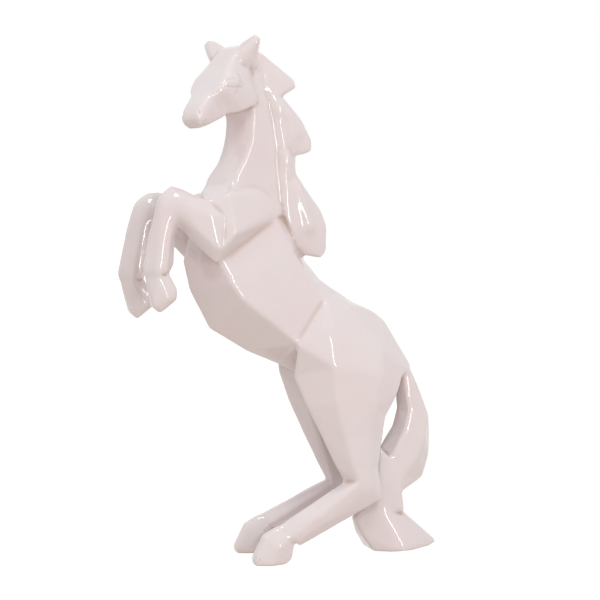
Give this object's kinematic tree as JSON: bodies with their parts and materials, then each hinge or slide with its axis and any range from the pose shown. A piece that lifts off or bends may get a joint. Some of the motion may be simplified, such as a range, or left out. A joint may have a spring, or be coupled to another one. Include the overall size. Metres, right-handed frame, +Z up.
{
  "type": "rearing horse ornament",
  "caption": "Faceted glazed pottery figurine of a rearing horse, standing on its hind hooves and the foot of its tail, with its head turned to the left.",
  "frame": {"origin": "middle of the figure's footprint box, on the ground", "axes": "+Z up, the horse faces -X, its left side is -Y"},
  "size_m": [0.2484, 0.0788, 0.3946],
  "materials": {
    "glaze": "gloss"
  },
  "bodies": {
    "root": {"body": "glaze", "neck": "glaze", "head": "glaze", "mane": "glaze", "left_foreleg": "glaze", "right_foreleg": "glaze", "left_hind_leg": "glaze", "right_hind_leg": "glaze", "tail": "glaze"}
  },
  "joints": []
}
